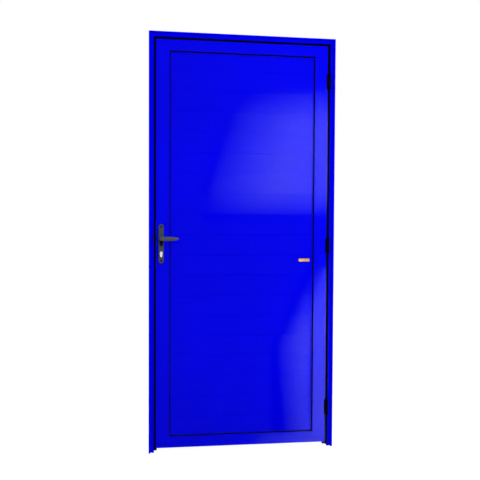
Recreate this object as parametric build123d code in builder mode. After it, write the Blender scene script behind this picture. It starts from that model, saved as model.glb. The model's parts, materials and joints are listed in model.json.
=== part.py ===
from build123d import *
import os

# Aluminium door of horizontal tongue-and-groove slats, hung in its three-sided frame.
# Millimetres. +X points right seen from the front, +Y into the doorway, +Z up.
# The origin is on the floor, midway between the jambs and midway through the leaf.

# Frame
FRAME_WIDTH = 920.0
FRAME_HEIGHT = 2040.0
FRAME_DEPTH = 56.0
FRAME_FACE = 26.0
FRAME_WALL = 1.8
OUTER_LIP_WIDTH = 8.0
LIP_PROUD = 11.0
CHANNEL_WIDTH = 10.0
CHANNEL_DEPTH = 3.0
STOP_REACH = 14.0
FIXING_HOLE_R = 3.75
FIXING_INSET = 290.0

# Leaf
LEAF_THICKNESS = 32.0
SIDE_GAP = 8.0
TOP_GAP = 6.0
FLOOR_GAP = 22.0
STILE_FACE = 66.0
RAIL_FACE = 55.0
LEAF_WALL = 1.8
REBATE = 12.0
FIN_THICKNESS = 3.0
RIB_HEIGHT = 4.0
RIB_WIDTH = 1.5
MILLING_CLEARANCE = 0.3
CUT_OVERRUN = 1.0

# Hardware groove, the same in the jambs and in the outer edge of the leaf
GROOVE_WIDTH = 22.0
GROOVE_DEPTH = 2.5

# Slats
SLAT_COUNT = 19
TOP_SLAT_TRIM = 10.0
SLAT_THICKNESS = 12.0
SLAT_WALL = 1.2
SLAT_EDGE = 0.8
PANEL_RECESS = 9.0
TONGUE_THICKNESS = 3.0
TONGUE_HEIGHT = 8.0
TONGUE_CLEARANCE = 0.2
SLAT_END_CLEARANCE = 1.0
SLAT_TOP_CLEARANCE = 2.0

# Gaskets, beads and seal
GASKET_LIP = 2.0
GASKET_COVER = 8.0
GASKET_LIP_RECESS = 1.0
BACK_GASKET_THICKNESS = 3.0
BEAD_WALL = 1.5
SEAL_WIDTH = 9.0
SEAL_BASE = 1.0
SEAL_SPACE = 3.5
SEAL_CLEARANCE = 0.3

# Barrel hinges
HINGE_INSET = 177.0
HINGE_HEIGHT = 75.0
BARREL_R = 8.0
BARREL_CLEARANCE = 0.5
HINGE_PIN_R = 4.0
HINGE_FIT = 0.05
KNUCKLE_GAP = 0.3
HINGE_PLATE_THICKNESS = 3.0
HINGE_WEB_CLEARANCE = 0.6

# Handle set
HANDLE_HEIGHT = 1048.0
BACKSET = 26.0
PLATE_WIDTH = 25.0
PLATE_LENGTH = 190.0
PLATE_THICKNESS = 8.0
PLATE_DROP = 26.0
PLATE_EDGE = 2.0
NECK_R = 8.0
NECK_CLEARANCE = 0.3
LEVER_LENGTH = 84.0
LEVER_HEIGHT = 20.0
LEVER_ROOT_HEIGHT = 18.0
LEVER_THICKNESS = 10.0
LEVER_PROJECTION = 52.0
LEVER_TIP = 12.0
LEVER_EDGE = 3.0
SPINDLE_SIZE = 8.0
SPINDLE_CLEARANCE = 0.1

# Lock
LOCK_CENTRES = 72.0
CASE_HEIGHT = 148.0
CASE_DEPTH = 42.0
CASE_THICKNESS = 15.0
CASE_WALL = 1.5
CASE_SLOT_CLEARANCE = 0.3
FOREND_LENGTH = 230.0
FOREND_CLEARANCE = 0.2
FOLLOWER_R = 6.0
LATCH_HEIGHT = 16.0
LATCH_THICKNESS = 11.0
LATCH_THROW = 10.0
LATCH_TAIL = 7.0
LATCH_NOSE = 2.5
LATCH_LAND = 1.0
BOLT_DROP = 38.0
BOLT_HEIGHT = 20.0
BOLT_THICKNESS = 8.0
BOLT_LENGTH = 30.0
BOLT_CLEARANCE = 0.3
CYLINDER_R = 8.5
CYLINDER_TAIL_WIDTH = 10.0
CYLINDER_TAIL_LENGTH = 24.5
CYLINDER_PROUD = 3.0
PLUG_R = 6.0
PLUG_FIT = 0.05
CAM_R = 15.0
CAM_WIDTH = 9.4
CAM_CLEARANCE = 0.3
CAM_TOOTH = 6.0
KEYWAY_WIDTH = 1.8
KEYWAY_HEIGHT = 8.0
KEYWAY_DEPTH = 20.0

# Keeper
KEEPER_HEIGHT = 45.0
KEEPER_THICKNESS = 2.0
KEEPER_COVER = 4.5
LATCH_HOLE_CLEARANCE = 1.0

# Brass plate on the panel
BRASS_WIDTH = 60.0
BRASS_HEIGHT = 21.0
BRASS_THICKNESS = 1.5
BRASS_INSET = 48.0
BRASS_Z = 942.0

# Corner cleats of the frame, and connectors in the ends of the rails
CLEAT_LEG = 70.0
CLEAT_WIDTH = 22.0
CLEAT_CLEARANCE = 0.2
CONNECTOR_LENGTH = 40.0

# Places worked out from the sizes above
LEAF_FRONT = -LEAF_THICKNESS / 2
LEAF_BACK = LEAF_THICKNESS / 2
LIP_PLANE = LEAF_FRONT - LIP_PROUD
STOP_DEPTH = LIP_PROUD + LEAF_THICKNESS + SEAL_SPACE
JAMB_INSIDE = FRAME_WIDTH / 2 - FRAME_FACE
LEAF_EDGE = JAMB_INSIDE - SIDE_GAP
LEAF_BOTTOM = FLOOR_GAP
LEAF_TOP = FRAME_HEIGHT - FRAME_FACE - TOP_GAP
LEAF_HEIGHT = LEAF_TOP - LEAF_BOTTOM
STILE_TUBE = STILE_FACE - REBATE
RAIL_TUBE = RAIL_FACE - REBATE
TUBE_EDGE = LEAF_EDGE - STILE_TUBE
OPENING_EDGE = LEAF_EDGE - STILE_FACE
OPENING_BOTTOM = LEAF_BOTTOM + RAIL_FACE
OPENING_TOP = LEAF_TOP - RAIL_FACE
GROOVE_FLOOR = LEAF_EDGE - GROOVE_DEPTH
JAMB_GROOVE_FLOOR = JAMB_INSIDE + GROOVE_DEPTH
PANEL_FRONT = LEAF_FRONT + PANEL_RECESS
PANEL_BACK = PANEL_FRONT + SLAT_THICKNESS
BEAD_FRONT = PANEL_BACK + BACK_GASKET_THICKNESS
BEAD_DEPTH = LEAF_BACK - BEAD_FRONT
SLAT_BOTTOM = LEAF_BOTTOM + RAIL_TUBE + RIB_HEIGHT
SLAT_TOP = LEAF_TOP - RAIL_TUBE - RIB_HEIGHT - SLAT_TOP_CLEARANCE
SLAT_PITCH = (SLAT_TOP - SLAT_BOTTOM + TOP_SLAT_TRIM) / SLAT_COUNT
SLAT_LENGTH = 2 * (TUBE_EDGE - RIB_HEIGHT - SLAT_END_CLEARANCE)
HINGE_X = LEAF_EDGE + SIDE_GAP / 2
HINGE_Y = LEAF_FRONT - BARREL_R - BARREL_CLEARANCE
HINGE_NAMES = ("bottom", "middle", "top")
HINGE_HEIGHTS = (
    LEAF_BOTTOM + HINGE_INSET,
    (LEAF_BOTTOM + LEAF_TOP) / 2,
    LEAF_TOP - HINGE_INSET,
)
KNUCKLE = HINGE_HEIGHT / 4
SPINDLE_X = -LEAF_EDGE + BACKSET
PLATE_Z = HANDLE_HEIGHT - PLATE_DROP
CYLINDER_Z = HANDLE_HEIGHT - LOCK_CENTRES
BOLT_Z = HANDLE_HEIGHT - BOLT_DROP
CYLINDER_HALF = LEAF_THICKNESS / 2 + PLATE_THICKNESS + CYLINDER_PROUD
LEVER_FACE = LEAF_THICKNESS / 2 + LEVER_PROJECTION
FIXING_HEIGHTS = (FIXING_INSET, FRAME_HEIGHT - FIXING_INSET)

os.makedirs("parts", exist_ok=True)


def save(piece, name):
    piece.part.label = name
    export_step(piece.part, f"parts/{name}.step")


def area(u0, u1, v0, v1, mode=Mode.ADD):
    """A rectangle between two corners of the sketch."""
    with Locations(((u0 + u1) / 2, (v0 + v1) / 2)):
        Rectangle(u1 - u0, v1 - v0, mode=mode)


def block(x0, x1, y0, y1, z0, z1, mode=Mode.SUBTRACT):
    """A box between two corners of the part."""
    with Locations(((x0 + x1) / 2, (y0 + y1) / 2, (z0 + z1) / 2)):
        Box(x1 - x0, y1 - y0, z1 - z0, mode=mode)


def bore_x(x0, x1, y, z, radius, mode=Mode.SUBTRACT):
    """A round hole or pin along X."""
    with Locations(((x0 + x1) / 2, y, z)):
        Cylinder(radius, abs(x1 - x0), rotation=(0, 90, 0), mode=mode)


def bore_y(x, y0, y1, z, radius, mode=Mode.SUBTRACT):
    """A round hole or pin along Y."""
    with Locations((x, (y0 + y1) / 2, z)):
        Cylinder(radius, abs(y1 - y0), rotation=(90, 0, 0), mode=mode)


# Sections of the extrusions: u runs from the outer edge inwards, v from the front backwards

def frame_section():
    channel_end = OUTER_LIP_WIDTH + CHANNEL_WIDTH
    channel_floor = LIP_PROUD + CHANNEL_DEPTH
    groove_start = LIP_PROUD + (LEAF_THICKNESS - GROOVE_WIDTH) / 2
    cavity_end = FRAME_FACE - GROOVE_DEPTH - FRAME_WALL
    area(0, FRAME_FACE, LIP_PROUD, FRAME_DEPTH)
    area(0, OUTER_LIP_WIDTH, 0, LIP_PROUD)
    area(FRAME_FACE, FRAME_FACE + STOP_REACH, STOP_DEPTH, FRAME_DEPTH)
    area(OUTER_LIP_WIDTH, channel_end, LIP_PROUD, channel_floor, Mode.SUBTRACT)
    area(
        FRAME_FACE - GROOVE_DEPTH,
        FRAME_FACE,
        groove_start,
        groove_start + GROOVE_WIDTH,
        Mode.SUBTRACT,
    )
    area(
        FRAME_WALL,
        cavity_end,
        channel_floor + FRAME_WALL,
        FRAME_DEPTH - FRAME_WALL,
        Mode.SUBTRACT,
    )
    area(
        FRAME_WALL,
        OUTER_LIP_WIDTH - FRAME_WALL,
        FRAME_WALL,
        channel_floor + FRAME_WALL,
        Mode.SUBTRACT,
    )
    area(
        cavity_end,
        FRAME_FACE + STOP_REACH - FRAME_WALL,
        STOP_DEPTH + FRAME_WALL,
        FRAME_DEPTH - FRAME_WALL,
        Mode.SUBTRACT,
    )


def leaf_section(tube):
    groove_start = (LEAF_THICKNESS - GROOVE_WIDTH) / 2
    area(0, tube, 0, LEAF_THICKNESS)
    area(tube, tube + REBATE, 0, FIN_THICKNESS)
    area(0, GROOVE_DEPTH, groove_start, groove_start + GROOVE_WIDTH, Mode.SUBTRACT)
    area(
        GROOVE_DEPTH + LEAF_WALL,
        tube - LEAF_WALL,
        LEAF_WALL,
        LEAF_THICKNESS - LEAF_WALL,
        Mode.SUBTRACT,
    )
    # Two ribs carry the edge of the panel, and one holds the bead
    rib_front = PANEL_RECESS + RIB_WIDTH
    rib_back = PANEL_RECESS + SLAT_THICKNESS - 2 * RIB_WIDTH
    area(tube, tube + RIB_HEIGHT, rib_front, rib_front + RIB_WIDTH)
    area(tube, tube + RIB_HEIGHT, rib_back, rib_back + RIB_WIDTH)
    bead_rib = LEAF_THICKNESS - (BEAD_DEPTH + RIB_WIDTH) / 2
    area(tube, tube + RIB_HEIGHT, bead_rib, bead_rib + RIB_WIDTH)


# Frame: two jambs and a head, mitred where they meet

LEFT_MITRE = Plane(origin=(-FRAME_WIDTH / 2, 0, FRAME_HEIGHT), z_dir=(1, 0, 1))
RIGHT_MITRE = Plane(origin=(FRAME_WIDTH / 2, 0, FRAME_HEIGHT), z_dir=(-1, 0, 1))
LEFT_JAMB_PLANE = Plane(origin=(-FRAME_WIDTH / 2, LIP_PLANE, 0), x_dir=(1, 0, 0), z_dir=(0, 0, 1))
RIGHT_JAMB_PLANE = Plane(
    origin=(FRAME_WIDTH / 2, LIP_PLANE, FRAME_HEIGHT), x_dir=(-1, 0, 0), z_dir=(0, 0, -1)
)
HEAD_PLANE = Plane(
    origin=(-FRAME_WIDTH / 2, LIP_PLANE, FRAME_HEIGHT), x_dir=(0, 0, -1), z_dir=(1, 0, 0)
)

with BuildPart() as jamb_left:
    with BuildSketch(LEFT_JAMB_PLANE):
        frame_section()
    extrude(amount=FRAME_HEIGHT)
    split(bisect_by=LEFT_MITRE, keep=Keep.BOTTOM)
    for height in FIXING_HEIGHTS:
        bore_x(-FRAME_WIDTH / 2 - CUT_OVERRUN, -JAMB_INSIDE, 0, height, FIXING_HOLE_R)
    # Pockets for the latch behind the keeper and for the thrown bolt
    pocket_end = -JAMB_GROOVE_FLOOR - FRAME_WALL - CUT_OVERRUN
    block(
        pocket_end,
        -JAMB_INSIDE,
        -LATCH_THICKNESS / 2 - LATCH_HOLE_CLEARANCE,
        LATCH_THICKNESS / 2 + LATCH_HOLE_CLEARANCE,
        HANDLE_HEIGHT - LATCH_HEIGHT / 2 - LATCH_HOLE_CLEARANCE,
        HANDLE_HEIGHT + LATCH_HEIGHT / 2 + LATCH_HOLE_CLEARANCE,
    )
    block(
        pocket_end,
        -JAMB_INSIDE,
        -BOLT_THICKNESS / 2 - LATCH_HOLE_CLEARANCE,
        BOLT_THICKNESS / 2 + LATCH_HOLE_CLEARANCE,
        BOLT_Z - BOLT_HEIGHT / 2 - LATCH_HOLE_CLEARANCE,
        BOLT_Z + BOLT_HEIGHT / 2 + LATCH_HOLE_CLEARANCE,
    )
save(jamb_left, "jamb_left")

with BuildPart() as jamb_right:
    with BuildSketch(RIGHT_JAMB_PLANE):
        frame_section()
    extrude(amount=FRAME_HEIGHT)
    split(bisect_by=RIGHT_MITRE, keep=Keep.BOTTOM)
    for height in FIXING_HEIGHTS:
        bore_x(JAMB_INSIDE, FRAME_WIDTH / 2 + CUT_OVERRUN, 0, height, FIXING_HOLE_R)
save(jamb_right, "jamb_right")

with BuildPart() as head:
    with BuildSketch(HEAD_PLANE):
        frame_section()
    extrude(amount=FRAME_WIDTH)
    split(bisect_by=LEFT_MITRE, keep=Keep.TOP)
    split(bisect_by=RIGHT_MITRE, keep=Keep.TOP)
save(head, "head")

# Corner cleats, pushed into the hollows across each mitre
with BuildPart() as frame_cleats:
    cleat_outer = FRAME_WALL + CLEAT_CLEARANCE
    cleat_inner = FRAME_FACE - GROOVE_DEPTH - FRAME_WALL - CLEAT_CLEARANCE
    for side in (-1, 1):
        near_x = side * (FRAME_WIDTH / 2 - cleat_outer)
        inner_x = side * (FRAME_WIDTH / 2 - cleat_inner)
        far_x = side * (FRAME_WIDTH / 2 - CLEAT_LEG)
        with BuildSketch(Plane.XZ.offset(CLEAT_WIDTH / 2)):
            with BuildLine():
                Polyline(
                    (near_x, FRAME_HEIGHT - cleat_outer),
                    (far_x, FRAME_HEIGHT - cleat_outer),
                    (far_x, FRAME_HEIGHT - cleat_inner),
                    (inner_x, FRAME_HEIGHT - cleat_inner),
                    (inner_x, FRAME_HEIGHT - CLEAT_LEG),
                    (near_x, FRAME_HEIGHT - CLEAT_LEG),
                    close=True,
                )
            make_face()
        extrude(amount=-CLEAT_WIDTH)
save(frame_cleats, "frame_cleats")

# Rebate seal: one strip along the stop, mitred at the corners
with BuildPart() as frame_seal:
    seal_base = LIP_PLANE + STOP_DEPTH
    seal_crown = LEAF_BACK + SEAL_CLEARANCE
    seal_outer = FRAME_WIDTH / 2 - FRAME_FACE - STOP_REACH + SEAL_WIDTH + SEAL_BASE / 2
    seal_inner = seal_outer - SEAL_WIDTH
    seal_top = FRAME_HEIGHT - FRAME_WIDTH / 2 + seal_outer
    with BuildLine() as seal_path:
        Polyline(
            (-seal_outer, seal_base, 0),
            (-seal_outer, seal_base, seal_top),
            (seal_outer, seal_base, seal_top),
            (seal_outer, seal_base, 0),
        )
    with BuildSketch(Plane.XY):
        with BuildLine():
            ThreePointArc(
                (-seal_outer, seal_base - SEAL_BASE),
                (-(seal_outer + seal_inner) / 2, seal_crown),
                (-seal_inner, seal_base - SEAL_BASE),
            )
            Polyline(
                (-seal_inner, seal_base - SEAL_BASE),
                (-seal_inner, seal_base),
                (-seal_outer, seal_base),
                (-seal_outer, seal_base - SEAL_BASE),
            )
        make_face()
    sweep(path=seal_path.wires()[0], transition=Transition.RIGHT)
save(frame_seal, "frame_seal")

# Keeper: a folded plate in the gap, with a lip over the front of the jamb
with BuildPart() as keeper:
    keeper_face = -JAMB_INSIDE + KEEPER_THICKNESS
    keeper_back = GROOVE_WIDTH / 2 + KEEPER_THICKNESS
    keeper_front = LEAF_FRONT - KEEPER_THICKNESS
    with BuildSketch(Plane.XY.offset(HANDLE_HEIGHT - KEEPER_HEIGHT / 2)):
        with BuildLine():
            Polyline(
                (-JAMB_INSIDE, keeper_back),
                (keeper_face, keeper_back),
                (keeper_face, keeper_front),
                (-JAMB_INSIDE - KEEPER_COVER, keeper_front),
                (-JAMB_INSIDE - KEEPER_COVER, LEAF_FRONT),
                (-JAMB_INSIDE, LEAF_FRONT),
                close=True,
            )
        make_face()
    extrude(amount=KEEPER_HEIGHT)
    side_edges = keeper.edges().filter_by(Axis.Y).group_by(Axis.X)[0]
    fillet(side_edges, radius=KEEPER_THICKNESS)
    block(
        -JAMB_INSIDE - CUT_OVERRUN,
        keeper_face + CUT_OVERRUN,
        -LATCH_THICKNESS / 2 - LATCH_HOLE_CLEARANCE / 2,
        LATCH_THICKNESS / 2 + LATCH_HOLE_CLEARANCE / 2,
        HANDLE_HEIGHT - LATCH_HEIGHT / 2 - LATCH_HOLE_CLEARANCE,
        HANDLE_HEIGHT + LATCH_HEIGHT / 2 + LATCH_HOLE_CLEARANCE,
    )
save(keeper, "keeper")

# Leaf: stiles run the full height, rails are butted between them

LEFT_STILE_PLANE = Plane(
    origin=(-LEAF_EDGE, LEAF_FRONT, LEAF_BOTTOM), x_dir=(1, 0, 0), z_dir=(0, 0, 1)
)
RIGHT_STILE_PLANE = Plane(
    origin=(LEAF_EDGE, LEAF_FRONT, LEAF_TOP), x_dir=(-1, 0, 0), z_dir=(0, 0, -1)
)
BOTTOM_RAIL_PLANE = Plane(
    origin=(TUBE_EDGE, LEAF_FRONT, LEAF_BOTTOM), x_dir=(0, 0, 1), z_dir=(-1, 0, 0)
)
TOP_RAIL_PLANE = Plane(
    origin=(-TUBE_EDGE, LEAF_FRONT, LEAF_TOP), x_dir=(0, 0, -1), z_dir=(1, 0, 0)
)


def clear_ribs_for_rails(side):
    """The ribs of a stile are milled off where the ends of the rails stand."""
    for z0, z1 in ((LEAF_BOTTOM, LEAF_BOTTOM + RAIL_TUBE), (LEAF_TOP - RAIL_TUBE, LEAF_TOP)):
        edges = sorted((side * TUBE_EDGE, side * (OPENING_EDGE - CUT_OVERRUN)))
        block(*edges, LEAF_FRONT + FIN_THICKNESS, LEAF_BACK, z0, z1)


def cylinder_outline(clearance):
    """The keyhole shape of the profile cylinder, on the sketch plane XZ."""
    with Locations((SPINDLE_X, CYLINDER_Z)):
        Circle(CYLINDER_R + clearance)
    tail_r = CYLINDER_TAIL_WIDTH / 2
    with Locations((SPINDLE_X, CYLINDER_Z - CYLINDER_TAIL_LENGTH + tail_r)):
        Circle(tail_r + clearance)
    area(
        SPINDLE_X - tail_r - clearance,
        SPINDLE_X + tail_r + clearance,
        CYLINDER_Z - CYLINDER_TAIL_LENGTH + tail_r,
        CYLINDER_Z,
    )


with BuildPart() as stile_left:
    with BuildSketch(LEFT_STILE_PLANE):
        leaf_section(STILE_TUBE)
    extrude(amount=LEAF_HEIGHT)
    clear_ribs_for_rails(-1)
    # Slot for the lock case, then the holes of the handle set through both faces
    case_half = CASE_THICKNESS / 2 + CASE_SLOT_CLEARANCE
    block(
        -GROOVE_FLOOR - CUT_OVERRUN,
        -GROOVE_FLOOR + LEAF_WALL + CUT_OVERRUN,
        -case_half,
        case_half,
        PLATE_Z - CASE_HEIGHT / 2 - CASE_SLOT_CLEARANCE,
        PLATE_Z + CASE_HEIGHT / 2 + CASE_SLOT_CLEARANCE,
    )
    bore_y(SPINDLE_X, LEAF_FRONT, LEAF_BACK, HANDLE_HEIGHT, NECK_R + NECK_CLEARANCE)
    with BuildSketch(Plane.XZ.offset(LEAF_BACK)):
        cylinder_outline(CASE_SLOT_CLEARANCE)
    extrude(amount=-LEAF_THICKNESS, mode=Mode.SUBTRACT)
save(stile_left, "stile_left")

with BuildPart() as stile_right:
    with BuildSketch(RIGHT_STILE_PLANE):
        leaf_section(STILE_TUBE)
    extrude(amount=LEAF_HEIGHT)
    clear_ribs_for_rails(1)
save(stile_right, "stile_right")

for name, plane, z0, z1, rib_z0, rib_z1 in (
    (
        "rail_bottom",
        BOTTOM_RAIL_PLANE,
        LEAF_BOTTOM,
        OPENING_BOTTOM,
        LEAF_BOTTOM + RAIL_TUBE,
        OPENING_BOTTOM,
    ),
    ("rail_top", TOP_RAIL_PLANE, OPENING_TOP, LEAF_TOP, OPENING_TOP, LEAF_TOP - RAIL_TUBE),
):
    with BuildPart() as rail:
        with BuildSketch(plane):
            leaf_section(RAIL_TUBE)
        extrude(amount=2 * TUBE_EDGE)
        # The ends are notched for the fins and ribs of the stiles
        for side in (-1, 1):
            fin_end = sorted((side * OPENING_EDGE, side * (TUBE_EDGE + CUT_OVERRUN)))
            notch_back = LEAF_FRONT + FIN_THICKNESS + MILLING_CLEARANCE
            block(*fin_end, LEAF_FRONT - CUT_OVERRUN, notch_back, z0, z1)
            inner_end = side * (OPENING_EDGE - CUT_OVERRUN)
            rib_end = sorted((inner_end, side * (TUBE_EDGE + CUT_OVERRUN)))
            block(*rib_end, LEAF_FRONT + FIN_THICKNESS, LEAF_BACK, rib_z0, rib_z1)
    save(rail, name)

# Connectors: blocks fixed to the stiles, pushed into the hollow ends of the rails
with BuildPart() as rail_connectors:
    connector_half = LEAF_THICKNESS / 2 - FIN_THICKNESS - MILLING_CLEARANCE
    connector_near = GROOVE_DEPTH + LEAF_WALL + CLEAT_CLEARANCE
    connector_far = RAIL_TUBE - LEAF_WALL - CLEAT_CLEARANCE
    for side in (-1, 1):
        ends = sorted((side * TUBE_EDGE, side * (TUBE_EDGE - CONNECTOR_LENGTH)))
        for z0, z1 in (
            (LEAF_BOTTOM + connector_near, LEAF_BOTTOM + connector_far),
            (LEAF_TOP - connector_far, LEAF_TOP - connector_near),
        ):
            block(*ends, -connector_half, connector_half, z0, z1, Mode.ADD)
save(rail_connectors, "rail_connectors")

# Slats: hollow boards, tongue up and groove down, stacked from the bottom rail


def slat_section():
    middle = SLAT_THICKNESS / 2
    groove_half = TONGUE_THICKNESS / 2 + TONGUE_CLEARANCE
    groove_height = TONGUE_HEIGHT + TONGUE_CLEARANCE
    Polygon(
        (SLAT_EDGE, 0),
        (SLAT_THICKNESS - SLAT_EDGE, 0),
        (SLAT_THICKNESS, SLAT_EDGE),
        (SLAT_THICKNESS, SLAT_PITCH - SLAT_EDGE),
        (SLAT_THICKNESS - SLAT_EDGE, SLAT_PITCH),
        (SLAT_EDGE, SLAT_PITCH),
        (0, SLAT_PITCH - SLAT_EDGE),
        (0, SLAT_EDGE),
        align=None,
    )
    area(
        middle - TONGUE_THICKNESS / 2,
        middle + TONGUE_THICKNESS / 2,
        SLAT_PITCH,
        SLAT_PITCH + TONGUE_HEIGHT,
    )
    area(middle - groove_half, middle + groove_half, 0, groove_height, Mode.SUBTRACT)
    # Three hollow chambers with two webs between them
    chamber_bottom = groove_height + SLAT_WALL
    chamber = (SLAT_PITCH - SLAT_WALL - chamber_bottom - 2 * SLAT_WALL) / 3
    for index in range(3):
        start = chamber_bottom + index * (chamber + SLAT_WALL)
        area(SLAT_WALL, SLAT_THICKNESS - SLAT_WALL, start, start + chamber, Mode.SUBTRACT)


for index in range(SLAT_COUNT):
    slat_z = SLAT_BOTTOM + index * SLAT_PITCH
    slat_plane = Plane(
        origin=(-SLAT_LENGTH / 2, PANEL_FRONT, slat_z), x_dir=(0, 1, 0), z_dir=(1, 0, 0)
    )
    with BuildPart() as slat:
        with BuildSketch(slat_plane):
            slat_section()
        extrude(amount=SLAT_LENGTH)
        if slat_z + SLAT_PITCH > SLAT_TOP:
            split(bisect_by=Plane.XY.offset(SLAT_TOP), keep=Keep.BOTTOM)
    save(slat, f"slat_{index + 1:02d}")


# Gaskets and beads round the panel

def ring(y0, y1, cover_outer, cover_inner, mode=Mode.ADD):
    """A rectangular ring round the opening, from y0 back to y1. The covers are measured
    outwards from the edge of the opening."""
    width = 2 * OPENING_EDGE
    height = OPENING_TOP - OPENING_BOTTOM
    middle_z = (OPENING_TOP + OPENING_BOTTOM) / 2
    with BuildSketch(Plane(origin=(0, y1, middle_z), x_dir=(1, 0, 0), z_dir=(0, -1, 0))) as flat:
        Rectangle(width + 2 * cover_outer, height + 2 * cover_outer)
        Rectangle(width + 2 * cover_inner, height + 2 * cover_inner, mode=Mode.SUBTRACT)
    extrude(flat.sketch, amount=y1 - y0, mode=mode)


with BuildPart() as gasket_front:
    lip_front = LEAF_FRONT + GASKET_LIP_RECESS
    fin_back = LEAF_FRONT + FIN_THICKNESS
    ring(fin_back, PANEL_FRONT, GASKET_COVER, -GASKET_LIP)
    ring(lip_front, fin_back, 0, -GASKET_LIP)
save(gasket_front, "gasket_front")

with BuildPart() as gasket_back:
    ring(PANEL_BACK, BEAD_FRONT, GASKET_COVER, 0)
save(gasket_back, "gasket_back")


def bead_section(lean):
    """A U-shaped bead, open towards the tube, where it straddles the bead rib."""
    area(0, REBATE, 0, BEAD_DEPTH)
    area(0, REBATE - BEAD_WALL, BEAD_WALL, BEAD_DEPTH - BEAD_WALL, Mode.SUBTRACT)
    with Locations((REBATE, BEAD_DEPTH)):
        Circle(lean, mode=Mode.SUBTRACT)


BEAD_SIDE_LENGTH = LEAF_HEIGHT - 2 * RAIL_TUBE
BEAD_RAIL_LENGTH = 2 * OPENING_EDGE
BEAD_PLANES = {
    "bead_left": (
        Plane(
            origin=(-TUBE_EDGE, BEAD_FRONT, LEAF_BOTTOM + RAIL_TUBE),
            x_dir=(1, 0, 0),
            z_dir=(0, 0, 1),
        ),
        BEAD_SIDE_LENGTH,
    ),
    "bead_right": (
        Plane(
            origin=(TUBE_EDGE, BEAD_FRONT, LEAF_TOP - RAIL_TUBE),
            x_dir=(-1, 0, 0),
            z_dir=(0, 0, -1),
        ),
        BEAD_SIDE_LENGTH,
    ),
    "bead_bottom": (
        Plane(
            origin=(OPENING_EDGE, BEAD_FRONT, LEAF_BOTTOM + RAIL_TUBE),
            x_dir=(0, 0, 1),
            z_dir=(-1, 0, 0),
        ),
        BEAD_RAIL_LENGTH,
    ),
    "bead_top": (
        Plane(
            origin=(-OPENING_EDGE, BEAD_FRONT, LEAF_TOP - RAIL_TUBE),
            x_dir=(0, 0, -1),
            z_dir=(1, 0, 0),
        ),
        BEAD_RAIL_LENGTH,
    ),
}

for name, (plane, length) in BEAD_PLANES.items():
    with BuildPart() as bead:
        with BuildSketch(plane):
            bead_section(BEAD_WALL / 2)
        extrude(amount=length)
    save(bead, name)

# Barrel hinges: two frame knuckles, one solid with the pin pressed into them, and one leaf
# knuckle that turns on the pin


def upright(radius, z0, z1, mode=Mode.ADD):
    """A round bar on the hinge axis."""
    with Locations((HINGE_X, HINGE_Y, (z0 + z1) / 2)):
        Cylinder(radius, z1 - z0, mode=mode)


HINGE_PLATE_FRONT = LEAF_FRONT + KNUCKLE_GAP
HINGE_PLATE_BACK = GROOVE_WIDTH / 2 + HINGE_PLATE_THICKNESS
FRAME_PLATE_X = JAMB_INSIDE - HINGE_PLATE_THICKNESS
LEAF_PLATE_X = LEAF_EDGE + HINGE_PLATE_THICKNESS

for name, height in zip(HINGE_NAMES, HINGE_HEIGHTS):
    hinge_bottom = height - HINGE_HEIGHT / 2
    hinge_top = height + HINGE_HEIGHT / 2
    low_top = hinge_bottom + KNUCKLE
    high_bottom = hinge_top - KNUCKLE

    with BuildPart() as hinge_frame:
        upright(BARREL_R, hinge_bottom, low_top)
        upright(BARREL_R, high_bottom, hinge_top)
        upright(HINGE_PIN_R, low_top, high_bottom)
        for z0, z1 in ((hinge_bottom, low_top), (high_bottom, hinge_top)):
            web_x = HINGE_X + HINGE_WEB_CLEARANCE
            block(web_x, JAMB_INSIDE, HINGE_Y, HINGE_PLATE_FRONT, z0, z1, Mode.ADD)
        block(
            FRAME_PLATE_X,
            JAMB_INSIDE,
            HINGE_PLATE_FRONT,
            HINGE_PLATE_BACK,
            hinge_bottom,
            hinge_top,
            Mode.ADD,
        )
    save(hinge_frame, f"hinge_frame_{name}")

    with BuildPart() as hinge_leaf:
        knuckle_bottom = low_top + KNUCKLE_GAP
        knuckle_top = high_bottom - KNUCKLE_GAP
        upright(BARREL_R, knuckle_bottom, knuckle_top)
        web_x = HINGE_X - HINGE_WEB_CLEARANCE
        block(
            LEAF_EDGE, web_x, HINGE_Y, HINGE_PLATE_FRONT, knuckle_bottom, knuckle_top, Mode.ADD
        )
        block(
            LEAF_EDGE,
            LEAF_PLATE_X,
            HINGE_PLATE_FRONT,
            HINGE_PLATE_BACK,
            hinge_bottom,
            hinge_top,
            Mode.ADD,
        )
        pin_bore_r = HINGE_PIN_R + HINGE_FIT
        upright(pin_bore_r, knuckle_bottom, knuckle_top, Mode.SUBTRACT)
    save(hinge_leaf, f"hinge_leaf_{name}")

# Mortice lock: a hollow case, one solid with the forend it is riveted to

CASE_FRONT = -GROOVE_FLOOR
CASE_BACK = CASE_FRONT + CASE_DEPTH
CASE_BOTTOM = PLATE_Z - CASE_HEIGHT / 2
CASE_TOP = PLATE_Z + CASE_HEIGHT / 2

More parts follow.
